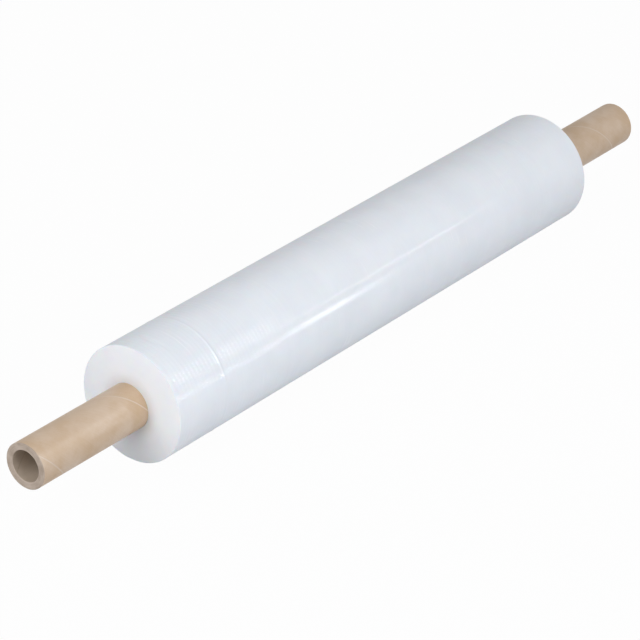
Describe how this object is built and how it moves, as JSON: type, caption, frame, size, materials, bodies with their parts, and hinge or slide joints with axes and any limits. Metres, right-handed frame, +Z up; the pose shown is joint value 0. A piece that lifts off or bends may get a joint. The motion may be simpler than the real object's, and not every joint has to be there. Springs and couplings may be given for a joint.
{
  "type": "stretch wrap roll",
  "caption": "Long roll of clear stretch film wound on a paperboard core whose bare ends stick out as hand grips; lies on a small flat.",
  "frame": {"origin": "on the ground under the middle of the roll, in the middle of the small flat that the film lies on", "axes": "+X along the roll's axis, towards the end farther from the gauge bands; +Z up; +Y towards the film's free edge"},
  "size_m": [0.72, 0.0904, 0.0898],
  "materials": {
    "kraft_paperboard": "matt brown-grey kraft paper, spiral wound, with a lighter seam",
    "stretch_film": "glossy clear polyethylene film, milky where wound in many turns"
  },
  "bodies": {
    "root": {"core_tube": "kraft_paperboard", "film_roll": "stretch_film"}
  },
  "joints": []
}
